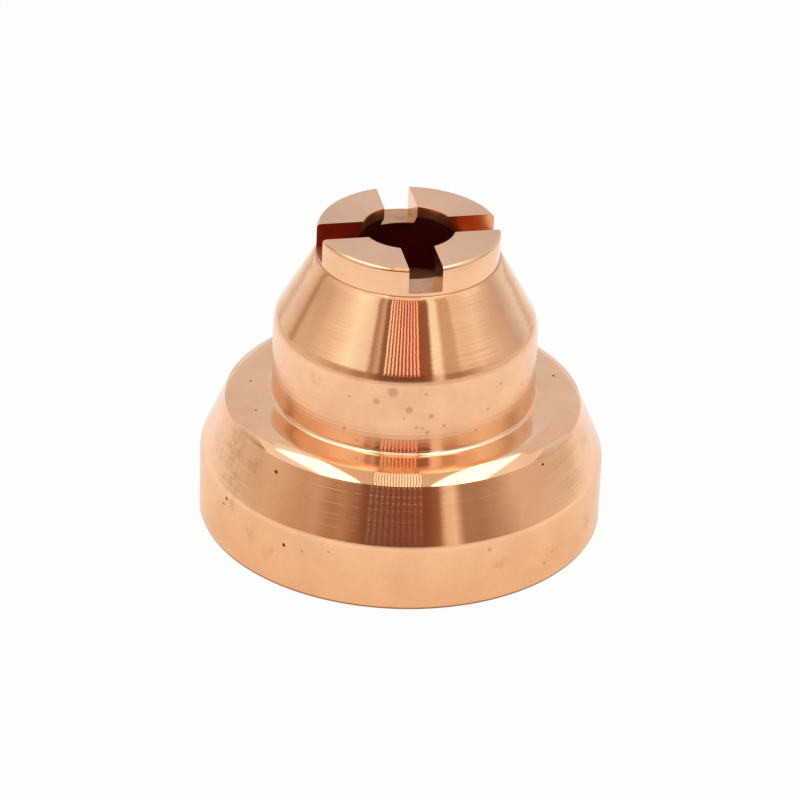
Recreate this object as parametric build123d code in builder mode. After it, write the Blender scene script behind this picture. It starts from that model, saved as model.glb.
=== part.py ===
from build123d import *
from math import radians, tan
import os

os.makedirs("parts", exist_ok=True)

# Drag shield of a plasma cutting torch, turned in one piece from copper bar, in millimetres.
# It stands on its open base at Z = 0 with the slotted crown up, and its slots lie along X and Y.

# Outside, from the base up
base_diameter = 28.0
base_height = 4.75
base_chamfer = 0.1
skirt_height = 4.5
skirt_taper = 23.5
shoulder_arc_setback = 1.46
shoulder_arc_drop = 0.63
least_shoulder_flat = 0.1
neck_diameter = 18.2
neck_height = 5.6
neck_foot_fillet = 0.3
neck_edge_round = 0.8
nose_height = 4.9
crown_diameter = 12.5
crown_height = 2.05
crown_ledge = 0.1
crown_foot_chamfer = 0.08
crown_edge_round = 0.25

# Cross cut through the crown
slot_width = 2.3
slot_floor_rise = 0.25
slot_passes = 2

# Front hole: a short lip, then a flare that opens to the cone-shaped cavity inside the crown's wall
hole_diameter = 6.3
lip_length = 0.8
flare_angle = 45.0
crown_wall = 1.75

# Torch end: a fine internal thread, its relief groove and the flat that the torch's cap seats on
base_wall = 2.0
thread_pitch = 1.5
thread_depth_per_pitch = 1.0825
thread_length = 4.5
lead_in = 0.9
lead_in_clearance = 0.1
relief_width = 1.3
relief_clearance = 0.1
neck_wall = 1.8
plenum_chamfer = 0.3

# Radii and levels that follow from the sizes above
base_radius = base_diameter / 2
neck_radius = neck_diameter / 2
crown_radius = crown_diameter / 2
nose_end_radius = crown_radius + crown_ledge
hole_radius = hole_diameter / 2
flare_radius = nose_end_radius - crown_wall
plenum_radius = neck_radius - neck_wall
thread_major_radius = base_radius - base_wall
thread_minor_radius = thread_major_radius - thread_depth_per_pitch * thread_pitch / 2
mouth_radius = thread_major_radius + lead_in_clearance
relief_radius = thread_major_radius + relief_clearance

shoulder_level = base_height + skirt_height
shoulder_radius = base_radius - skirt_height * tan(radians(skirt_taper))
neck_level = shoulder_level + neck_height
nose_level = neck_level + nose_height
overall_height = nose_level + crown_height
slot_depth = crown_height - slot_floor_rise
thread_end = lead_in + thread_length
seat_level = thread_end + relief_width
lip_level = overall_height - lip_length
flare_level = lip_level - (flare_radius - hole_radius) / tan(radians(flare_angle))

# The cavity's cone runs parallel to the nose, so the nose wall is even
nose_slope = (neck_radius - nose_end_radius) / nose_height
plenum_level = flare_level - (plenum_radius - flare_radius) / nose_slope

# The shoulder's arc runs from a crisp edge on the skirt to a flat ring at the neck's foot
shoulder_room = shoulder_radius - neck_radius - neck_foot_fillet - least_shoulder_flat
arc_share = min(1, shoulder_room / shoulder_arc_setback)
flat_radius = shoulder_radius - arc_share * shoulder_arc_setback
skirt_edge_level = shoulder_level - arc_share * shoulder_arc_drop
skirt_edge_radius = base_radius - (skirt_edge_level - base_height) * tan(radians(skirt_taper))

# Corners of the outside, in radius and height
base_foot = (base_radius, 0)
base_edge = (base_radius, base_height)
skirt_edge = (skirt_edge_radius, skirt_edge_level)
shoulder_flat = (flat_radius, shoulder_level)
neck_foot = (neck_radius, shoulder_level)
neck_edge = (neck_radius, neck_level)
nose_edge = (nose_end_radius, nose_level)
crown_foot = (crown_radius, nose_level)
crown_edge = (crown_radius, overall_height)

# Corners of the hollow, from the mouth to the front hole
mouth = (mouth_radius, 0)
thread_start_corner = (thread_minor_radius, lead_in)
thread_end_corner = (thread_minor_radius, thread_end)
relief_near = (relief_radius, thread_end)
relief_far = (relief_radius, seat_level)
plenum_mouth = (plenum_radius, seat_level)
plenum_end = (plenum_radius, plenum_level)
flare_end = (flare_radius, flare_level)
lip_foot = (hole_radius, lip_level)
lip_edge = (hole_radius, overall_height)

with BuildPart() as drag_shield:
    # Solid blank as the lathe leaves its outside: base, skirt, shoulder, neck, nose and crown
    with BuildSketch(Plane.XZ) as outside:
        with BuildLine():
            Polyline(
                shoulder_flat, neck_foot, neck_edge, nose_edge, crown_foot, crown_edge,
                (0, overall_height), (0, 0), base_foot, base_edge, skirt_edge,
            )
            TangentArc(shoulder_flat, skirt_edge, tangent=(1, 0))
        make_face()
        chamfer(outside.vertices().sort_by_distance(base_foot)[0], base_chamfer)
        fillet(outside.vertices().sort_by_distance(neck_foot)[0], neck_foot_fillet)
        fillet(outside.vertices().sort_by_distance(neck_edge)[0], neck_edge_round)
        chamfer(outside.vertices().sort_by_distance(crown_foot)[0], crown_foot_chamfer)
        fillet(outside.vertices().sort_by_distance(crown_edge)[0], crown_edge_round)
    revolve(axis=Axis.Z)

    # Hollow bored from the torch end: mouth, thread bore, relief groove, seat, plenum, cone, flare, lip
    with BuildSketch(Plane.XZ) as hollow:
        with BuildLine():
            Polyline(
                (0, 0), mouth, thread_start_corner, thread_end_corner, relief_near, relief_far,
                plenum_mouth, plenum_end, flare_end, lip_foot, lip_edge, (0, overall_height),
                close=True,
            )
        make_face()
        chamfer(hollow.vertices().sort_by_distance(plenum_mouth)[0], plenum_chamfer)
    revolve(axis=Axis.Z, mode=Mode.SUBTRACT)

    # Two saw passes at right angles leave the crown as four lands with a gas slot between each pair
    with BuildSketch(Plane.XY.offset(overall_height)):
        with PolarLocations(0, slot_passes, angular_range=180):
            Rectangle(base_diameter, slot_width)
    extrude(amount=-slot_depth, mode=Mode.SUBTRACT)

drag_shield.part.label = "drag_shield"
export_step(drag_shield.part, "parts/drag_shield.step")
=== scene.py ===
from math import asin, cos, pi, radians, sin, tan

import bmesh
import bpy
from mathutils import Matrix, Vector


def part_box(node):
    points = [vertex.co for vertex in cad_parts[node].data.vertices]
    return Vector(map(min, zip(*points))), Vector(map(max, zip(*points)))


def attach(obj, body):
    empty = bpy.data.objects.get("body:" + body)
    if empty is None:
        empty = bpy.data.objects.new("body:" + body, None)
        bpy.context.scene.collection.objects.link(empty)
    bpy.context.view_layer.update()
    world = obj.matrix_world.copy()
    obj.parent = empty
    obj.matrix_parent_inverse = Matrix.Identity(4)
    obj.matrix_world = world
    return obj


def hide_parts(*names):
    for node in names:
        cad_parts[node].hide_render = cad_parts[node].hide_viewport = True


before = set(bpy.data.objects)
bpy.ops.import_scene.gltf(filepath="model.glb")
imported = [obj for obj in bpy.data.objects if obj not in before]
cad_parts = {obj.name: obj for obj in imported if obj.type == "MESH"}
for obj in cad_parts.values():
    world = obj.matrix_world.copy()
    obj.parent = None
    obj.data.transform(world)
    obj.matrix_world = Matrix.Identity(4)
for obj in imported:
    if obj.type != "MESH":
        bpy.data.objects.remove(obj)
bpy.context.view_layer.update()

# Turned body
# One piece of copper bar, bored from the torch end and turned outside: base, skirt, shoulder, neck,
# nose and crown. It stands for the plain solid and has the small rounds that a lathe tool leaves.

mm = 0.001
node_low, node_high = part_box("drag_shield")
base_radius = node_high.x
overall_height = node_high.z

base_height = 4.75 * mm
skirt_height = 4.5 * mm
skirt_taper = radians(23.5)
shoulder_arc_setback = 1.46 * mm
shoulder_arc_drop = 0.63 * mm
shoulder_arc_steps = 14
neck_radius = 9.1 * mm
neck_height = 5.6 * mm
crown_radius = 6.25 * mm
crown_height = 2.05 * mm
crown_ledge = 0.1 * mm
crown_wall = 1.75 * mm
hole_radius = 3.15 * mm
lip_length = 0.8 * mm
neck_wall = 1.8 * mm
base_wall = 2.0 * mm
thread_end = 5.4 * mm
relief_width = 1.3 * mm

shoulder_level = base_height + skirt_height
flat_radius = base_radius - skirt_height * tan(skirt_taper) - shoulder_arc_setback
skirt_edge_level = shoulder_level - shoulder_arc_drop
skirt_edge_radius = base_radius - (skirt_edge_level - base_height) * tan(skirt_taper)
neck_level = shoulder_level + neck_height
nose_level = overall_height - crown_height
nose_end_radius = crown_radius + crown_ledge
nose_slope = (neck_radius - nose_end_radius) / (nose_level - neck_level)
thread_major_radius = base_radius - base_wall
seat_level = thread_end + relief_width
lip_level = overall_height - lip_length
flare_radius = nose_end_radius - crown_wall
flare_level = lip_level - (flare_radius - hole_radius)
plenum_radius = neck_radius - neck_wall
plenum_level = flare_level - (plenum_radius - flare_radius) / nose_slope

# The shoulder's arc starts at a crisp edge on the skirt and runs into the flat ring round the neck
no_round = (0, 0)
arc_run = skirt_edge_radius - flat_radius
arc_radius = (arc_run ** 2 + shoulder_arc_drop ** 2) / (2 * shoulder_arc_drop)
arc_span = asin(arc_run / arc_radius)
shoulder_arc = []
for step in range(shoulder_arc_steps + 1):
    lean = arc_span * (1 - step / shoulder_arc_steps)
    shoulder_arc.append((flat_radius + arc_radius * sin(lean),
                         shoulder_level - arc_radius * (1 - cos(lean)), no_round))

turn_steps = 360
ring_spacing = 0.5 * mm
same_place = 0.001 * mm

# Corners of the profile from the base's outside edge up to the crown and down through the bore, with
# the radius and the number of segments of each corner's round
profile_corners = [
    (base_radius, 0, (0.12 * mm, 2)),
    (base_radius, base_height, (1.2 * mm, 5)),
    *shoulder_arc,
    (neck_radius, shoulder_level, (0.3 * mm, 8)),
    (neck_radius, neck_level, (2.0 * mm, 8)),
    (nose_end_radius, nose_level, (0.05 * mm, 2)),
    (crown_radius, nose_level, no_round),
    (crown_radius, overall_height, (0.25 * mm, 7)),
    (hole_radius, overall_height, (0.06 * mm, 3)),
    (hole_radius, lip_level, no_round),
    (flare_radius, flare_level, no_round),
    (plenum_radius, plenum_level, no_round),
    (plenum_radius, seat_level, (0.3 * mm, 2)),
    (thread_major_radius, seat_level, no_round),
    (thread_major_radius, 0, no_round),
]


def round_corner(profile, corner, size, segments):
    """Turns one corner of a profile's wire into an arc with a radius of size."""
    ways = [(edge.other_vert(corner).co - corner.co).normalized() for edge in corner.link_edges]
    offset = size * tan((pi - ways[0].angle(ways[1])) / 2)
    bmesh.ops.bevel(profile, geom=[corner], affect="VERTICES", offset_type="OFFSET", offset=offset,
                    segments=segments, profile=0.5, material=-1)


def as_object(mesh, name):
    """Makes an object of a finished bmesh, at the origin."""
    data = bpy.data.meshes.new(name)
    mesh.to_mesh(data)
    mesh.free()
    made = bpy.data.objects.new(name, data)
    bpy.context.scene.collection.objects.link(made)
    return made


shell = bmesh.new()
corners = [shell.verts.new((radius, 0, level)) for radius, level, rounding in profile_corners]
for pair in zip(corners, corners[1:] + corners[:1]):
    shell.edges.new(pair)
for corner, (radius, level, (size, segments)) in zip(corners, profile_corners):
    if segments:
        round_corner(shell, corner, size, segments)
for edge in list(shell.edges):
    cuts = int(edge.calc_length() / ring_spacing)
    if cuts:
        bmesh.ops.subdivide_edges(shell, edges=[edge], cuts=cuts)
bmesh.ops.spin(shell, geom=[*shell.verts, *shell.edges], cent=(0, 0, 0), axis=(0, 0, 1), dvec=(0, 0, 0),
               angle=2 * pi, steps=turn_steps, use_merge=True)
bmesh.ops.remove_doubles(shell, verts=shell.verts, dist=same_place)
bmesh.ops.recalc_face_normals(shell, faces=shell.faces)
body = as_object(shell, "shield_body")


# Torch end thread
# A fine right-hand thread, M24 by 1.5, cut inside the base after boring. It starts at a turned lead-in
# and runs out into a relief groove in front of the seat for the torch's cap.

thread_pitch = 1.5 * mm
thread_depth = 1.0825 * thread_pitch / 2
root_half_width = thread_pitch * 7 / 16
crest_half_width = thread_pitch / 8
thread_root_overlap = 0.08 * mm
thread_run_over = 0.9 * mm
steps_per_thread_turn = 120
lead_in = 0.9 * mm
lead_in_clearance = 0.1 * mm
relief_clearance = 0.1 * mm


def combine(part, tool, operation):
    """Joins a tool's shape to a part, or cuts it out of the part, for good."""
    change = part.modifiers.new(operation, "BOOLEAN")
    change.object = tool
    change.operation = operation
    change.solver = "MANIFOLD"
    after = bpy.data.meshes.new_from_object(part.evaluated_get(bpy.context.evaluated_depsgraph_get()))
    part.modifiers.clear()
    part.data = after
    bpy.data.objects.remove(tool)


def turning_tool(name, lower_radius, lower_level, upper_radius, upper_level):
    """The round space that a tool sweeps between two levels."""
    mesh = bmesh.new()
    bmesh.ops.create_cone(mesh, cap_ends=True, segments=turn_steps, radius1=lower_radius,
                          radius2=upper_radius, depth=upper_level - lower_level)
    bmesh.ops.translate(mesh, verts=mesh.verts, vec=(0, 0, (lower_level + upper_level) / 2))
    return as_object(mesh, name)


ridge = bmesh.new()
root_radius = thread_major_radius + thread_root_overlap
crest_radius = thread_major_radius - thread_depth
section = [(root_radius, -root_half_width), (thread_major_radius, -root_half_width),
           (crest_radius, -crest_half_width), (crest_radius, crest_half_width),
           (thread_major_radius, root_half_width), (root_radius, root_half_width)]
section_face = ridge.faces.new([ridge.verts.new((radius, 0, height - thread_run_over))
                                for radius, height in section])
thread_turns = (thread_end + 2 * thread_run_over) / thread_pitch
thread_steps = round(thread_turns * steps_per_thread_turn)
bmesh.ops.spin(ridge, geom=[section_face, *section_face.verts, *section_face.edges], cent=(0, 0, 0),
               axis=(0, 0, 1), dvec=(0, 0, thread_pitch / steps_per_thread_turn),
               angle=2 * pi * thread_turns, steps=thread_steps, use_merge=False)
bmesh.ops.recalc_face_normals(ridge, faces=ridge.faces)
combine(body, as_object(ridge, "thread_ridge"), "UNION")

lead_in_slope = (thread_depth + lead_in_clearance) / lead_in
below_base = -3 * mm
combine(body, turning_tool("lead_in", crest_radius + (lead_in - below_base) * lead_in_slope, below_base,
                           crest_radius, lead_in), "DIFFERENCE")
relief_radius = thread_major_radius + relief_clearance
combine(body, turning_tool("relief", relief_radius, thread_end, relief_radius, seat_level), "DIFFERENCE")


# Crown slots
# Two saw passes at right angles cut the crown into four lands. They leave flat floors just above the
# nose, and straight walls with the saw's marks.

slot_width = 2.3 * mm
slot_floor_level = nose_level + 0.25 * mm
saw_clearance = 1 * mm

for name, along in (("saw_pass_x", "x"), ("saw_pass_y", "y")):
    saw = bmesh.new()
    bmesh.ops.create_cube(saw, size=1)
    length = 2 * base_radius
    height = overall_height + saw_clearance - slot_floor_level
    bmesh.ops.scale(saw, vec=(length if along == "x" else slot_width,
                              length if along == "y" else slot_width, height), verts=saw.verts)
    bmesh.ops.translate(saw, vec=(0, 0, slot_floor_level + height / 2), verts=saw.verts)
    combine(body, as_object(saw, name), "DIFFERENCE")

# The body's surfaces, as numbers of its material slots
turned, faced, bored, sawn = range(4)


def surface_of(face):
    """The number of the surface that a face of the finished body lies on."""
    middle = face.calc_center_median()
    radius = middle.xy.length
    if middle.z > slot_floor_level - same_place and min(
            abs(middle.x), abs(middle.y)) < slot_width / 2 + same_place:
        return sawn
    in_socket = 0 < middle.z < seat_level + same_place and radius < relief_radius + same_place
    if in_socket or face.normal.xy.dot(middle.xy) < -0.1 * radius:
        return bored
    return faced if face.normal.z > 0.99 and middle.z > nose_level else turned


body.data.materials.clear()
finished = bmesh.new()
finished.from_mesh(body.data)
bmesh.ops.remove_doubles(finished, verts=finished.verts, dist=same_place)
bmesh.ops.delete(finished, geom=[edge for edge in finished.edges if not edge.link_faces], context="EDGES")
sharp_angle = radians(25)
for face in finished.faces:
    face.smooth = True
    face.material_index = surface_of(face)
for edge in finished.edges:
    edge.smooth = edge.calc_face_angle(0) < sharp_angle
finished.to_mesh(body.data)
finished.free()
weigh = body.modifiers.new("flats_stay_flat", "WEIGHTED_NORMAL")
weigh.keep_sharp = True
flat_shaded = bpy.data.meshes.new_from_object(body.evaluated_get(bpy.context.evaluated_depsgraph_get()))
body.modifiers.clear()
body.data = flat_shaded
body.data.name = "shield_body"


# Copper finishes
# Bare copper with the marks of each cut: fine turning lines outside, a facing pattern on the crown's
# top, saw lines in the slots, and in the bore darker metal with painted dark red shade deep in the nose.

clean_copper = (0.93, 0.575, 0.34, 1)
rosy_copper = (0.89, 0.52, 0.31, 1)
# Colour of the painted highlight on the front of the ring round the neck
painted_highlight_copper = (0.95, 0.70, 0.50, 1)
dull_copper = (0.74, 0.41, 0.24, 1)
matte_copper = (0.64, 0.44, 0.33, 1)
# The next three colours are painted light in the slots: red of light bounced between the copper walls, and
# deeper painted shade in the slot on the left
painted_bounce_red = (0.84, 0.29, 0.06, 1)
painted_slot_shade_red = (0.60, 0.035, 0.010, 1)
painted_slot_shade_dark = (0.28, 0.03, 0.01, 1)
floor_brown = (0.59, 0.31, 0.17, 1)
stained_brown = (0.34, 0.20, 0.12, 1)
lip_brown = (0.80, 0.30, 0.10, 1)
# Colour of the painted dark red shade deep in the bore
painted_bore_shade_red = (0.32, 0.004, 0.004, 1)
spot_brown = (0.42, 0.22, 0.12, 1)
# Colour of the painted contact shadow along the edge that the shield stands on
painted_contact_shadow_brown = (0.30, 0.13, 0.07, 1)
pit_black = (0.06, 0.02, 0.01, 1)

groove_depth = 0.004 * mm
roughness_of_dullness = 0.03
roughness_of_streaks = 0.06


def place(tree, kind, inputs=(), **options):
    """Adds a node, sets its options, and gives its inputs values or links from other nodes."""
    node = tree.nodes.new("ShaderNode" + kind)
    for option, value in options.items():
        setattr(node, option, value)
    for socket, value in dict(inputs).items():
        if isinstance(value, bpy.types.NodeSocket):
            tree.links.new(value, node.inputs[socket])
        else:
            node.inputs[socket].default_value = value
    return node


def calculate(tree, operation, first, second=0.0):
    """The result of one sum on values or sockets."""
    return place(tree, "Math", {0: first, 1: second}, operation=operation).outputs[0]


def mix_colours(tree, share, first, second):
    """A colour between two others."""
    return place(tree, "Mix", {"Factor": share, 6: first, 7: second}, data_type="RGBA").outputs[2]


def new_group(name, inputs, outputs):
    """An empty node group with named float inputs and named outputs."""
    tree = bpy.data.node_groups.new(name, "ShaderNodeTree")
    for socket, default in inputs.items():
        made = tree.interface.new_socket(socket, in_out="INPUT", socket_type="NodeSocketFloat")
        made.default_value = default
    for socket, kind in outputs.items():
        tree.interface.new_socket(socket, in_out="OUTPUT", socket_type=kind)
    return tree, tree.nodes.new("NodeGroupInput").outputs, tree.nodes.new("NodeGroupOutput").inputs


# Lines round the axis: the pattern changes fast along the profile and slowly round it. The grooves tilt
# the surface along the profile, and chatter of the tool tilts it a little the other way
marks, marks_in, marks_out = new_group(
    "turning_marks", {"Lines per Metre": 8000, "Wander": 60, "Groove Tilt": 0.1, "Chatter Tilt": 0.0},
    {"Height": "NodeSocketFloat", "Streaks": "NodeSocketFloat", "Normal": "NodeSocketVector"})
position = place(marks, "SeparateXYZ", {0: place(marks, "TexCoord").outputs["Object"]}).outputs
flat_place = place(marks, "CombineXYZ", {0: position["X"], 1: position["Y"]}).outputs[0]
axis_distance = place(marks, "VectorMath", {0: flat_place}, operation="LENGTH").outputs["Value"]
along_profile = calculate(marks, "SUBTRACT", position["Z"], axis_distance)
grain_place = place(marks, "CombineXYZ", {
    0: calculate(marks, "MULTIPLY", position["X"], marks_in["Wander"]),
    1: calculate(marks, "MULTIPLY", position["Y"], marks_in["Wander"]),
    2: calculate(marks, "MULTIPLY", along_profile, marks_in["Lines per Metre"])}).outputs[0]


def spread_noise(tree, vector, stretch, detail):
    """Noise about zero on a stretched place."""
    stretched = place(tree, "VectorMath", {0: vector, 1: stretch}, operation="MULTIPLY").outputs[0]
    noise = place(tree, "TexNoise", {"Vector": stretched, "Scale": 1.0, "Detail": detail, "Roughness": 0.6})
    return calculate(tree, "SUBTRACT", noise.outputs["Fac"], 0.5)


fine_lines = spread_noise(marks, grain_place, (1.0, 1.0, 1.0), 2.0)
chatter = spread_noise(marks, grain_place, (12.0, 12.0, 0.5), 1.0)
wide_bands = spread_noise(marks, grain_place, (2.0, 2.0, 0.7), 4.0)
marks.links.new(fine_lines, marks_out["Height"])
marks.links.new(wide_bands, marks_out["Streaks"])
plain_normal = place(marks, "NewGeometry").outputs["Normal"]
round_axis = place(marks, "VectorMath", {0: place(marks, "CombineXYZ", {
    0: calculate(marks, "MULTIPLY", position["Y"], -1.0), 1: position["X"]}).outputs[0]},
    operation="NORMALIZE").outputs[0]
up_profile = place(marks, "VectorMath", {0: plain_normal, 1: round_axis},
                   operation="CROSS_PRODUCT").outputs[0]
groove_lean = place(marks, "VectorMath", {0: up_profile, "Scale": calculate(
    marks, "MULTIPLY", fine_lines, marks_in["Groove Tilt"])}, operation="SCALE").outputs[0]
chatter_lean = place(marks, "VectorMath", {0: round_axis, "Scale": calculate(
    marks, "MULTIPLY", chatter, marks_in["Chatter Tilt"])}, operation="SCALE").outputs[0]
leaning = place(marks, "VectorMath", {0: plain_normal, 1: place(
    marks, "VectorMath", {0: groove_lean, 1: chatter_lean}).outputs[0]}).outputs[0]
tilted_normal = place(marks, "VectorMath", {0: leaning}, operation="NORMALIZE").outputs[0]
marks.links.new(tilted_normal, marks_out["Normal"])

# Patches where handling and air have dulled the metal, a few millimetres wide
tone, tone_in, tone_out = new_group(
    "copper_tone", {"Patches per Metre": 300, "Dulling": 0.5},
    {"Color": "NodeSocketColor", "Dullness": "NodeSocketFloat"})
tone_place = place(tone, "TexCoord").outputs["Object"]
patches = place(tone, "TexNoise", {"Vector": tone_place, "Scale": tone_in["Patches per Metre"],
                                   "Detail": 5.0, "Roughness": 0.55})
patch_edge = place(tone, "MapRange", {"Value": patches.outputs["Fac"], "From Min": 0.42, "From Max": 0.68})
speckle = place(tone, "TexNoise", {
    "Vector": tone_place, "Scale": calculate(tone, "MULTIPLY", tone_in["Patches per Metre"], 11.0),
    "Detail": 2.0})
speckle_edge = place(tone, "MapRange", {"Value": speckle.outputs["Fac"], "From Min": 0.5, "From Max": 0.75})
dullness = calculate(tone, "MULTIPLY", tone_in["Dulling"], calculate(
    tone, "ADD", patch_edge.outputs[0], calculate(tone, "MULTIPLY", speckle_edge.outputs[0], 0.35)))
rosy = mix_colours(tone, patches.outputs["Fac"], clean_copper, rosy_copper)
tone.links.new(mix_colours(tone, dullness, rosy, dull_copper), tone_out["Color"])
tone.links.new(dullness, tone_out["Dullness"])


def copper(name, roughness, lines_per_metre, wander, dulling, grain):
    """A copper finish: its tone, its marks' changes of roughness and a highlight wide across the marks."""
    material = bpy.data.materials.new(name)
    material.use_nodes = True
    tree = material.node_tree
    shader = tree.nodes["Principled BSDF"]
    shader.inputs["Metallic"].default_value = 1.0
    shader.inputs["Anisotropic"].default_value = grain
    shader.inputs["Anisotropic Rotation"].default_value = 0.25
    around = place(tree, "Tangent", direction_type="RADIAL", axis="Z")
    tree.links.new(around.outputs[0], shader.inputs["Tangent"])
    tones = place(tree, "Group", node_tree=tone)
    tones.inputs["Dulling"].default_value = dulling
    lines = place(tree, "Group", node_tree=marks)
    lines.inputs["Lines per Metre"].default_value = lines_per_metre
    lines.inputs["Wander"].default_value = wander
    tree.links.new(tones.outputs["Color"], shader.inputs["Base Color"])
    worn = calculate(tree, "MULTIPLY", tones.outputs["Dullness"], roughness_of_dullness)
    streaked = calculate(tree, "MULTIPLY", lines.outputs["Streaks"], roughness_of_streaks)
    uneven = calculate(tree, "ADD", calculate(tree, "ADD", roughness, worn), streaked)
    tree.links.new(uneven, shader.inputs["Roughness"])
    return material, tree, shader, lines


def roughen(material, amount):
    """Adds to a copper finish's roughness, by an amount or by a mask on the surface."""
    tree = material.node_tree
    target = tree.nodes["Principled BSDF"].inputs["Roughness"]
    before = target.links[0].from_socket
    tree.links.new(calculate(tree, "ADD", before, amount), target)


# A band of the surface between two places, with soft ends
band, band_in, band_out = new_group(
    "surface_band", {"Place": 0.0, "Low": 0.0, "High": 1.0, "Blend": 0.1}, {"Mask": "NodeSocketFloat"})
band_start = place(band, "MapRange", {
    "Value": band_in["Place"], "From Min": band_in["Low"],
    "From Max": calculate(band, "ADD", band_in["Low"], band_in["Blend"])})
band_end = place(band, "MapRange", {
    "Value": band_in["Place"], "From Min": calculate(band, "SUBTRACT", band_in["High"], band_in["Blend"]),
    "From Max": band_in["High"], "To Min": 1.0, "To Max": 0.0})
band.links.new(calculate(band, "MULTIPLY", band_start.outputs[0], band_end.outputs[0]), band_out["Mask"])

# Uneven mottles in a stain
mottles, mottles_in, mottles_out = new_group(
    "mottling", {"Mottles per Metre": 2000, "Start": 0.4, "Full": 0.7}, {"Mask": "NodeSocketFloat"})
mottle_noise = place(mottles, "TexNoise", {
    "Vector": place(mottles, "TexCoord").outputs["Object"], "Scale": mottles_in["Mottles per Metre"],
    "Detail": 3.0})
mottle_edge = place(mottles, "MapRange", {
    "Value": mottle_noise.outputs["Fac"], "From Min": mottles_in["Start"], "From Max": mottles_in["Full"]})
mottles.links.new(mottle_edge.outputs[0], mottles_out["Mask"])


def band_mask(tree, axis, low, high, blend):
    """1 where the surface's place along one axis lies between two values, and 0 elsewhere."""
    along = place(tree, "SeparateXYZ", {0: place(tree, "TexCoord").outputs["Object"]}).outputs[axis]
    return place(tree, "Group", {"Place": along, "Low": low, "High": high, "Blend": blend},
                 node_tree=band).outputs["Mask"]


def mottled(tree, per_metre, start, full):
    """1 on the mottles of a stain and 0 between them."""
    return place(tree, "Group", {"Mottles per Metre": per_metre, "Start": start, "Full": full},
                 node_tree=mottles).outputs["Mask"]


def recolour(material, share, colour):
    """Mixes one more colour into a copper finish, by a share or by a mask on the surface."""
    tree = material.node_tree
    target = tree.nodes["Principled BSDF"].inputs["Base Color"]
    before = target.links[0].from_socket
    tree.links.new(mix_colours(tree, share, before, colour), target)


def spot_mask(tree, spots, edge):
    """1 on each spot and 0 elsewhere. A spot is its bearing from the front, radius, level and width."""
    surface = place(tree, "TexCoord").outputs["Object"]
    uneven = place(tree, "TexNoise", {"Vector": surface, "Scale": 4000.0, "Detail": 2.0})
    spread = calculate(tree, "MULTIPLY", calculate(tree, "SUBTRACT", uneven.outputs["Fac"], 0.5), 0.2 * mm)
    mask = 0.0
    for bearing, radius, level, width in spots:
        turn = radians(bearing)
        centre = (radius * sin(turn), -radius * cos(turn), level)
        distance = place(tree, "VectorMath", {0: surface, 1: centre}, operation="DISTANCE")
        reach = calculate(tree, "ADD", distance.outputs["Value"], spread)
        inside = place(tree, "MapRange", {"Value": reach, "From Min": width / 2 * (1 - edge),
                                          "From Max": width / 2 * (1 + edge), "To Min": 1.0, "To Max": 0.0})
        mask = calculate(tree, "MAXIMUM", mask, inside.outputs[0])
    return mask


turned_copper, outside_tree, outside_shader, outside_lines = copper(
    "turned_copper", 0.085, 11000, 40, 0.35, 1.0)
outside_tree.links.new(outside_lines.outputs["Normal"], outside_shader.inputs["Normal"])

faced_copper, faced_tree, faced_shader, faced_lines = copper("faced_copper", 0.42, 9000, 90, 0.5, 0.5)
bored_copper, bore_tree, bore_shader, bore_lines = copper("bored_copper", 0.3, 5000, 50, 0.8, 0.6)
sawn_copper, sawn_tree, sawn_shader, sawn_lines = copper("sawn_copper", 0.24, 5000, 200, 0.5, 0.0)
for tree, shader, lines in ((faced_tree, faced_shader, faced_lines), (bore_tree, bore_shader, bore_lines),
                            (sawn_tree, sawn_shader, sawn_lines)):
    grooves = place(tree, "Bump", {
        "Height": lines.outputs["Height"], "Distance": groove_depth, "Strength": 1.0})
    tree.links.new(grooves.outputs[0], shader.inputs["Normal"])

# Dried drops, pits and stains, each as its bearing from the front in degrees, its level and its width in
# millimetres. A pit of the shoulder has its radius in place of its level
neck_drops = [(-16, 14.0, 0.7), (-23, 13.2, 0.42), (-9, 12.7, 0.5), (0.5, 12.2, 0.36), (-2, 13.9, 0.22),
              (-5.5, 11.35, 0.24), (-3, 11.25, 0.18), (-1, 10.9, 0.24), (6.5, 11.35, 0.24),
              (-11, 12.05, 0.18), (34.5, 13.4, 0.24), (50.5, 12.3, 0.25), (-35, 13.2, 0.2),
              (-37, 10.65, 0.25), (-31, 9.95, 0.16), (21.5, 10.5, 0.16), (27.5, 11.85, 0.22)]
base_pits = [(-45, 3.4, 0.22), (-69, 4.4, 0.26), (-70.5, 3.8, 0.2)]
base_specks = [(-39, 3.4, 0.2), (14.5, 4.15, 0.26), (37, 2.1, 0.18), (34, 1.5, 0.2), (-31, 3.9, 0.2)]
skirt_pits = [(-53, 7.8, 0.28), (38.5, 8.25, 0.18)]
shoulder_pits = [(-103, 10.6, 0.2), (-81, 10.7, 0.15), (92, 10.75, 0.22)]
base_stains = [(-58, 3.1, 1.3), (-50, 2.2, 1.1), (-66, 4.3, 1.2), (56, 2.4, 1.3), (62, 3.6, 0.8),
               (18, 2.9, 0.9)]
skirt_stains = [(-74, 7.6, 2.6), (-69, 5.6, 1.6), (-80, 6.6, 1.8), (-62, 7.4, 1.2), (66, 7.2, 1.4)]
neck_stains = [(58, 12.9, 1.2), (63, 12.1, 0.8), (-52, 13.6, 1.0)]


def on_skirt(spots):
    """Spots of the skirt, with its radius at each one's level."""
    return [(bearing, base_radius - (level * mm - base_height) * tan(skirt_taper), level * mm, width * mm)
            for bearing, level, width in spots]


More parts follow.
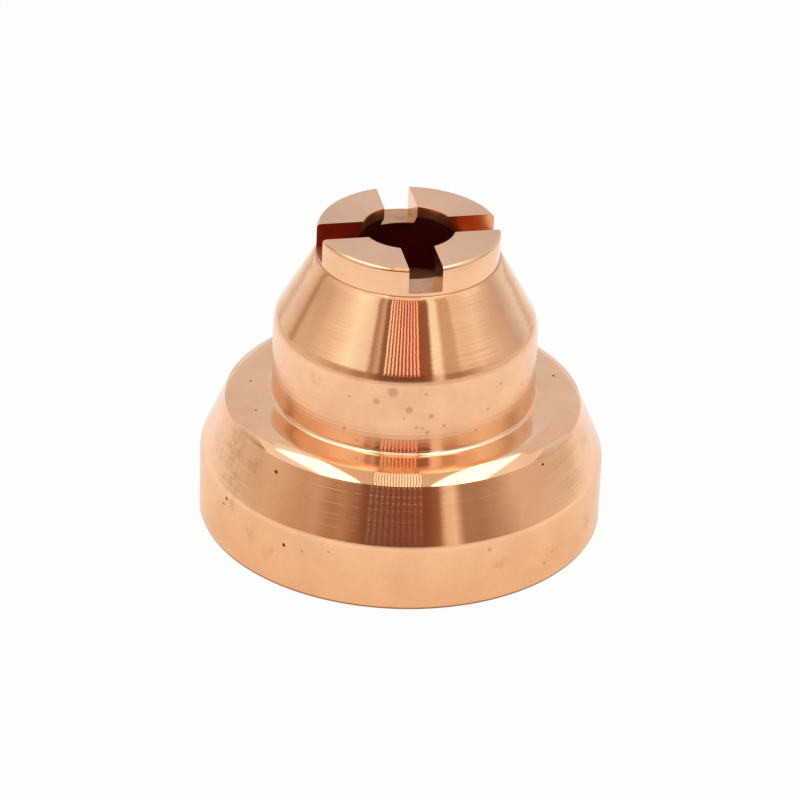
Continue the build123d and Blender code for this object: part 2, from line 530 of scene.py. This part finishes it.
drops = [(bearing, neck_radius, level * mm, width * mm) for bearing, level, width in neck_drops]
drops += [(bearing, base_radius, level * mm, width * mm) for bearing, level, width in base_specks]
stains = [(bearing, neck_radius, level * mm, width * mm) for bearing, level, width in neck_stains]
stains += [(bearing, base_radius, level * mm, width * mm) for bearing, level, width in base_stains]
stains += on_skirt(skirt_stains)
pits = [(bearing, base_radius, level * mm, width * mm) for bearing, level, width in base_pits]
pits += on_skirt(skirt_pits)
pits += [(bearing, radius * mm, shoulder_level, width * mm) for bearing, radius, width in shoulder_pits]
drop_share = calculate(outside_tree, "MULTIPLY", spot_mask(outside_tree, drops, 0.35), 0.55)
recolour(turned_copper, drop_share, spot_brown)
stained = calculate(outside_tree, "MULTIPLY", spot_mask(outside_tree, stains, 0.7),
                    mottled(outside_tree, 2200, 0.4, 0.65))
stain_share = calculate(outside_tree, "MULTIPLY", stained, 0.4)
recolour(turned_copper, stain_share, spot_brown)
recolour(turned_copper, spot_mask(outside_tree, pits, 0.3), pit_black)

# The ring round the neck gets a painted highlight in front, and the edge that the shield stands on gets a
# painted dark contact shadow
ring = band_mask(outside_tree, "Z", shoulder_level - 0.03 * mm, shoulder_level + 0.25 * mm, 0.03 * mm)
painted_highlight_front = band_mask(outside_tree, "Y", -2 * base_radius, -5 * mm, 4 * mm)
recolour(turned_copper, calculate(outside_tree, "MULTIPLY", ring, calculate(
    outside_tree, "MULTIPLY", painted_highlight_front, 0.85)), painted_highlight_copper)
# Painted dark contact shadow along the edge that the shield stands on
foot = band_mask(outside_tree, "Z", -mm, 0.2 * mm, 0.05 * mm)
recolour(turned_copper, calculate(outside_tree, "MULTIPLY", foot, 0.85), painted_contact_shadow_brown)

# The shoulder's arc and ring are turned smoother than the rest, and the neck a little rougher
smooth_turned = band_mask(outside_tree, "Z", shoulder_level - 0.7 * mm,
                          shoulder_level + 0.25 * mm, 0.05 * mm)
for mark, elsewhere, on_ring in (("Chatter Tilt", 0.009, 0.001), ("Groove Tilt", 0.2, 0.03)):
    tilt = place(outside_tree, "MapRange", {"Value": smooth_turned, "To Min": elsewhere, "To Max": on_ring})
    outside_tree.links.new(tilt.outputs[0], outside_lines.inputs[mark])
neck = band_mask(outside_tree, "Z", shoulder_level + 0.3 * mm, neck_level - 0.3 * mm, 0.3 * mm)
roughen(turned_copper, calculate(outside_tree, "MULTIPLY", neck, 0.07))
roughen(turned_copper, calculate(outside_tree, "MULTIPLY", smooth_turned, -0.025))

# The faced top is matte and paler all over
recolour(faced_copper, 0.6, matte_copper)

# The saw's floors are duller than its walls. In the slot that runs along x, a painted red stands for light
# bounced between the copper walls, and the slot on the left has deeper painted red shade, darkest towards
# its outer end
slot_x = band_mask(sawn_tree, "Y", -slot_width * 0.6, slot_width * 0.6, 0.1 * mm)
shaded_left_slot = calculate(sawn_tree, "MULTIPLY", slot_x, band_mask(
    sawn_tree, "X", -2 * base_radius, -hole_radius * 0.9, 0.3 * mm))
recolour(sawn_copper, calculate(sawn_tree, "MULTIPLY", slot_x, 0.5), painted_bounce_red)
recolour(sawn_copper, calculate(sawn_tree, "MULTIPLY", shaded_left_slot, 0.85), painted_slot_shade_red)
recolour(sawn_copper, calculate(sawn_tree, "MULTIPLY", calculate(sawn_tree, "MULTIPLY", slot_x, band_mask(
    sawn_tree, "X", -2 * base_radius, -3.8 * mm, 1.5 * mm)), 0.6), painted_slot_shade_dark)
roughen(sawn_copper, calculate(sawn_tree, "MULTIPLY", shaded_left_slot, 0.2))
slot_floors = band_mask(sawn_tree, "Z", nose_level, slot_floor_level + 0.04 * mm, 0.02 * mm)
recolour(sawn_copper, calculate(sawn_tree, "MULTIPLY", slot_floors, 0.9), floor_brown)
floor_stains = calculate(sawn_tree, "MULTIPLY", slot_floors, mottled(sawn_tree, 1100, 0.48, 0.7))
recolour(sawn_copper, calculate(sawn_tree, "MULTIPLY", floor_stains, 0.6), stained_brown)

# Painted dark red shade darkens the cone inside the nose, but not the plenum below it or the lip above it
recolour(bored_copper, band_mask(bore_tree, "Z", plenum_level, lip_level + 0.1 * mm, 0.2 * mm), painted_bore_shade_red)
recolour(bored_copper, calculate(bore_tree, "MULTIPLY", band_mask(
    bore_tree, "Z", lip_level, overall_height + mm, 0.1 * mm), 0.8), lip_brown)
# The plenum's top is painted clean bright copper, a painted reflection of the light that comes in through
# the slots and the hole, and it is also made rougher
plenum_painted_highlight = band_mask(bore_tree, "Z", plenum_level - 1.6 * mm, plenum_level, 0.3 * mm)
recolour(bored_copper, plenum_painted_highlight, clean_copper)
roughen(bored_copper, calculate(bore_tree, "MULTIPLY", plenum_painted_highlight, 0.3))

for finish in (turned_copper, faced_copper, bored_copper, sawn_copper):
    body.data.materials.append(finish)

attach(body, "root")
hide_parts("drag_shield")


# Camera
# It stands a little left of the front and looks down on the crown, as the photograph does.

photo_size = 800
camera_heading = radians(11.757)
camera_pitch = radians(29.539)
camera_roll = radians(2.079)
camera_distance = 290.02 * mm
camera_focus = Vector((-0.187, 0.039, 8.303)) * mm
focal_pixels = 4184.9
sensor_width = 36

camera_data = bpy.data.cameras.new("camera")
camera_data.sensor_width = sensor_width
camera_data.lens = focal_pixels / photo_size * sensor_width
camera_data.clip_start = 10 * mm
camera_data.clip_end = 5
camera = bpy.data.objects.new("camera", camera_data)
bpy.context.scene.collection.objects.link(camera)
turn_camera = (Matrix.Rotation(-camera_heading, 4, "Z") @ Matrix.Rotation(pi / 2 - camera_pitch, 4, "X")
               @ Matrix.Rotation(camera_roll, 4, "Z"))
view_direction = turn_camera @ Vector((0, 0, -1))
camera.matrix_world = Matrix.Translation(camera_focus - view_direction * camera_distance) @ turn_camera
bpy.context.scene.camera = camera


# Studio
# A white paper floor in a white light tent, with a lamp above it. The tent is open towards the camera,
# where a strip of small lights hangs, and its walls are a little darker near that opening.

paper_white = (0.88, 0.88, 0.88, 1)
floor_half_width = 1.5
whitening_in_view = 0.96
whitening_in_gloss = 0.95

# The paper's light as the metal mirrors it, by distance from the axis: warm in the shield's shadow,
# brightest beside it and a little darker towards the tent's walls
gloss_reach = 300 * mm
gloss_by_distance = [
    (14 * mm, (0.95, 0.80, 0.64)), (20 * mm, (0.98, 0.90, 0.82)), (32 * mm, (1.08, 1.08, 1.10)),
    (60 * mm, (1.0, 0.98, 0.96)), (130 * mm, (0.69, 0.58, 0.50)), (220 * mm, (0.93, 0.98, 1.02))]


def rays(tree, *kinds):
    """1 for a ray of any of these kinds, and 0 for the others."""
    path = place(tree, "LightPath").outputs
    found = 0.0
    for kind in kinds:
        found = calculate(tree, "MAXIMUM", found, path[f"Is {kind} Ray"])
    return found


def colour_ramp(tree, share, stops):
    """The colour at a share of the way along a row of stops."""
    ramp = place(tree, "ValToRGB", {0: share})
    elements = ramp.color_ramp.elements
    while len(elements) < len(stops):
        elements.new(0.5)
    for element, (position, colour) in zip(elements, stops):
        element.position = position
        element.color = (*colour, 1)
    return ramp.outputs[0]


floor_mesh = bmesh.new()
bmesh.ops.create_grid(floor_mesh, x_segments=1, y_segments=1, size=floor_half_width)
floor = as_object(floor_mesh, "floor")
paper = bpy.data.materials.new("floor_paper")
paper.use_nodes = True
paper_tree = paper.node_tree
paper_shader = paper_tree.nodes["Principled BSDF"]
paper_shader.inputs["Base Color"].default_value = paper_white
paper_shader.inputs["Roughness"].default_value = 0.9
paper_shader.inputs["Specular IOR Level"].default_value = 0.1
floor_place = place(paper_tree, "TexCoord").outputs["Object"]
from_axis = place(paper_tree, "VectorMath", {0: floor_place}, operation="LENGTH").outputs["Value"]
outside_shield = calculate(paper_tree, "GREATER_THAN", from_axis, thread_major_radius)
whitening = calculate(
    paper_tree, "ADD",
    calculate(paper_tree, "MULTIPLY", rays(paper_tree, "Camera"), whitening_in_view),
    calculate(paper_tree, "MULTIPLY", rays(paper_tree, "Glossy", "Transmission"), whitening_in_gloss))
reach = calculate(paper_tree, "DIVIDE", from_axis, gloss_reach)
gloss_colour = colour_ramp(paper_tree, reach, [(distance / gloss_reach, colour)
                                               for distance, colour in gloss_by_distance])
paper_colour = mix_colours(paper_tree, rays(paper_tree, "Camera"), gloss_colour, (1, 1, 1, 1))
paper_glow = place(paper_tree, "Emission", {"Color": paper_colour, "Strength": 1.0})
paper_seen = place(paper_tree, "MixShader", {
    0: calculate(paper_tree, "MULTIPLY", outside_shield, whitening), 1: paper_shader.outputs[0],
    2: paper_glow.outputs[0]})
paper_sides = place(paper_tree, "MixShader", {
    0: place(paper_tree, "NewGeometry").outputs["Backfacing"], 1: paper_seen.outputs[0],
    2: place(paper_tree, "BsdfTransparent").outputs[0]})
paper_tree.links.new(paper_sides.outputs[0], paper_tree.nodes["Material Output"].inputs[0])
floor.data.materials.append(paper)

tent_light = 0.2
world = bpy.data.worlds.new("tent")
bpy.context.scene.world = world
world.use_nodes = True
sky = world.node_tree
sky.nodes.clear()
sky_level = place(sky, "MapRange", {"Value": rays(sky, "Camera", "Glossy", "Transmission"),
                                    "To Min": tent_light, "To Max": 1.0})
sky_glow = place(sky, "Background", {"Color": (1, 1, 1, 1), "Strength": sky_level.outputs[0]})
sky.links.new(sky_glow.outputs[0], place(sky, "OutputWorld").inputs[0])
world.cycles.sampling_method = "NONE"

tent_radius = 330 * mm


def tent_part(name, bearings, elevations, material, radius=tent_radius):
    """A curved part of the tent, by its bearings from the camera and its elevations, in degrees."""
    start, end = (radians(bearing - 90) - camera_heading for bearing in bearings)
    low, high = (radius * tan(radians(elevation)) for elevation in elevations)
    mesh = bmesh.new()
    foot = mesh.verts.new((radius * cos(start), radius * sin(start), low))
    head = mesh.verts.new((radius * cos(start), radius * sin(start), high))
    upright = mesh.edges.new((foot, head))
    bmesh.ops.spin(mesh, geom=[foot, head, upright], cent=(0, 0, 0), axis=(0, 0, 1), dvec=(0, 0, 0),
                   angle=end - start, steps=max(2, round(abs(bearings[1] - bearings[0]))), use_merge=False)
    part = as_object(mesh, name)
    part.data.materials.append(material)
    part.visible_camera = False
    part.visible_shadow = False


def bearing_ramp(tree, share_of_turn, stops):
    """The tent's colour by bearing from the camera, in degrees."""
    return colour_ramp(tree, share_of_turn, [(bearing / 360 + 0.5, colour) for bearing, colour in stops])


def glowing(name):
    """A material that only glows, and its Emission node."""
    material = bpy.data.materials.new(name)
    material.use_nodes = True
    tree = material.node_tree
    tree.nodes.clear()
    glow = place(tree, "Emission")
    tree.links.new(glow.outputs[0], place(tree, "OutputMaterial").inputs[0])
    material.cycles.emission_sampling = "NONE"
    return material, glow


# Colours of the tent's wall from left to right, low down and at the camera's height
wall_low = [
    (-130, (0.92, 0.92, 0.90)), (-118, (0.80, 0.75, 0.70)), (-111, (0.52, 0.40, 0.30)),
    (-105, (0.74, 0.66, 0.58)), (-90, (0.72, 0.62, 0.54)), (-78, (0.79, 0.67, 0.57)),
    (-57, (0.62, 0.45, 0.34)), (-47, (0.64, 0.48, 0.40)), (-38, (0.47, 0.27, 0.17)),
    (-30, (0.46, 0.31, 0.22)), (-24, (0.34, 0.17, 0.10)), (-18, (0.23, 0.10, 0.06)),
    (0, (0.21, 0.08, 0.05)), (16, (0.24, 0.09, 0.05)), (22.5, (0.36, 0.18, 0.11)), (26, (0.82, 0.65, 0.51)),
    (31, (0.95, 0.82, 0.68)), (36, (0.43, 0.28, 0.20)), (47, (0.43, 0.28, 0.21)), (57, (0.55, 0.40, 0.33)),
    (70, (0.79, 0.67, 0.58)), (90, (0.80, 0.70, 0.66)), (110, (0.66, 0.60, 0.54)),
    (118, (0.72, 0.72, 0.76)), (130, (0.90, 0.95, 1.0))]
wall_high = [
    (-130, (0.92, 0.96, 0.96)), (-111, (0.45, 0.36, 0.26)), (-106, (0.80, 0.74, 0.68)),
    (-75, (0.97, 0.91, 0.86)), (-62, (1.12, 1.10, 1.08)), (-52, (1.19, 1.30, 1.26)),
    (-40, (1.09, 1.12, 1.11)), (-33.5, (1.02, 0.96, 0.91)), (-30, (0.46, 0.28, 0.20)),
    (-24, (0.70, 0.62, 0.56)), (-21, (0.30, 0.17, 0.10)), (-8, (0.26, 0.11, 0.06)), (0, (0.26, 0.08, 0.06)),
    (16, (0.34, 0.13, 0.06)), (23.8, (0.33, 0.16, 0.09)), (26.6, (1.08, 1.12, 1.10)),
    (33, (1.08, 1.14, 1.04)), (37, (0.68, 0.54, 0.42)), (48, (0.70, 0.56, 0.46)),
    (52, (0.94, 0.84, 0.74)), (60, (0.94, 0.84, 0.76)),
    (75, (1.06, 1.08, 1.04)), (92, (0.94, 0.96, 0.94)), (108, (0.62, 0.56, 0.50)), (130, (0.90, 1.0, 1.05))]
wall_low_elevation = 16
wall_high_elevation = 24

tent, _, tent_out = new_group("tent_place", {}, {"Turn": "NodeSocketFloat", "Height": "NodeSocketFloat"})
turned_view = place(tent, "Mapping", {
    "Vector": place(tent, "TexCoord").outputs["Object"],
    "Rotation": (0, 0, camera_heading)}).outputs[0]
tent_axes = place(tent, "SeparateXYZ", {0: turned_view}).outputs
tent_bearing = calculate(tent, "ARCTAN2", tent_axes["X"], calculate(tent, "MULTIPLY", tent_axes["Y"], -1.0))
share_of_turn = calculate(tent, "ADD", calculate(tent, "DIVIDE", tent_bearing, 2 * pi), 0.5)
tent.links.new(share_of_turn, tent_out["Turn"])
tent.links.new(tent_axes["Z"], tent_out["Height"])

wall_material, wall_glow = glowing("tent_wall")
wall_tree = wall_material.node_tree
wall_place = place(wall_tree, "Group", node_tree=tent).outputs
wall_rise = place(wall_tree, "MapRange", {
    "Value": wall_place["Height"], "From Min": tent_radius * tan(radians(wall_low_elevation)),
    "From Max": tent_radius * tan(radians(wall_high_elevation))})
wall_colour = mix_colours(wall_tree, wall_rise.outputs[0],
                          bearing_ramp(wall_tree, wall_place["Turn"], wall_low),
                          bearing_ramp(wall_tree, wall_place["Turn"], wall_high))
wall_tree.links.new(wall_colour, wall_glow.inputs["Color"])
tent_part("tent_wall", (-130, 130), (0, 42), wall_material)

back_material, back_glow = glowing("tent_back")
back_glow.inputs["Color"].default_value = (0.80, 0.80, 0.82, 1)
tent_part("tent_back", (130, 230), (5, 50), back_material)

strip_lights = 10
strip_first_bearing = -16.4
strip_spacing = 3.23
strip_elevations = (9, 40)
strip_dim_elevation = 20
strip_bright_elevation = 24
strip_dim_share = 0.13
strip_colours = [(-17, (1.80, 1.45, 1.20)), (-10, (1.70, 1.15, 0.90)), (-3, (1.65, 0.95, 0.85)),
                 (3, (1.65, 0.88, 0.84)), (8, (1.70, 0.92, 0.78)), (14, (1.85, 1.05, 0.80))]
strip_radius = 322 * mm
light_width = 1.3
light_material, light_glow = glowing("strip_light")
light_tree = light_material.node_tree
light_place = place(light_tree, "Group", node_tree=tent).outputs
light_rise = place(light_tree, "MapRange", {
    "Value": light_place["Height"], "From Min": strip_radius * tan(radians(strip_dim_elevation)),
    "From Max": strip_radius * tan(radians(strip_bright_elevation)), "To Min": strip_dim_share})
light_tree.links.new(light_rise.outputs[0], light_glow.inputs["Strength"])
light_tree.links.new(bearing_ramp(light_tree, light_place["Turn"], strip_colours),
                     light_glow.inputs["Color"])
for number in range(strip_lights):
    bearing = strip_first_bearing + number * strip_spacing
    tent_part(f"strip_light_{number + 1}", (bearing - light_width / 2, bearing + light_width / 2),
              strip_elevations, light_material, strip_radius)

# The tent's opening goes on over its top as a slit with thin lights, which hides the lamp from the
# shield's front
slit_sides = (-82 * mm, 66 * mm)
slit_ends = (-tent_radius, 200 * mm)
slit_height = 300 * mm
slit_plain = (0.80, 0.66, 0.53, 1)
slit_light = (1.80, 1.65, 1.50, 1)
slit_gap = (0.50, 0.32, 0.22, 1)

# The slit's lights run towards one point behind its end, with their spacing and their reach in degrees
slit_lights_meet = 300 * mm
slit_light_spacing = 0.83
slit_light_reach = (-7.8, 6.7)

slit_mesh = bmesh.new()
slit_mesh.faces.new([slit_mesh.verts.new((x, y, 0)) for x, y in (
    (slit_sides[0], slit_ends[0]), (slit_sides[1], slit_ends[0]),
    (slit_sides[1], slit_ends[1]), (slit_sides[0], slit_ends[1]))])
slit_material, slit_glow = glowing("tent_slit")
slit_tree = slit_material.node_tree
slit_place = place(slit_tree, "SeparateXYZ", {0: place(slit_tree, "TexCoord").outputs["Object"]}).outputs
slit_turn = calculate(slit_tree, "ARCTAN2", slit_place["X"], calculate(
    slit_tree, "SUBTRACT", slit_lights_meet, slit_place["Y"]))
slit_wave = calculate(slit_tree, "SINE", calculate(
    slit_tree, "MULTIPLY", slit_turn, 360 / slit_light_spacing))
slit_lights = mix_colours(slit_tree, calculate(slit_tree, "GREATER_THAN", slit_wave, 0.0),
                          slit_gap, slit_light)
lights_within = calculate(slit_tree, "COMPARE", slit_turn, radians(sum(slit_light_reach) / 2))
lights_within.node.inputs[2].default_value = radians(slit_light_reach[1] - slit_light_reach[0]) / 2
slit_tree.links.new(mix_colours(slit_tree, lights_within, slit_plain, slit_lights),
                    slit_glow.inputs["Color"])
slit = as_object(slit_mesh, "tent_slit")
slit.matrix_world = Matrix.Translation((0, 0, slit_height)) @ Matrix.Rotation(-camera_heading, 4, "Z")
slit.data.materials.append(slit_material)
slit.visible_camera = False

lamp_height = 340 * mm
lamp_width = 400 * mm
lamp_radiance = 1.7
lamp_data = bpy.data.lights.new("tent_lamp", "AREA")
lamp_data.shape = "SQUARE"
lamp_data.size = lamp_width
lamp_data.energy = lamp_radiance * pi * lamp_width ** 2
lamp = bpy.data.objects.new("tent_lamp", lamp_data)
lamp.location = (0, 0, lamp_height)
bpy.context.scene.collection.objects.link(lamp)

bpy.context.scene.view_settings.view_transform = "Standard"
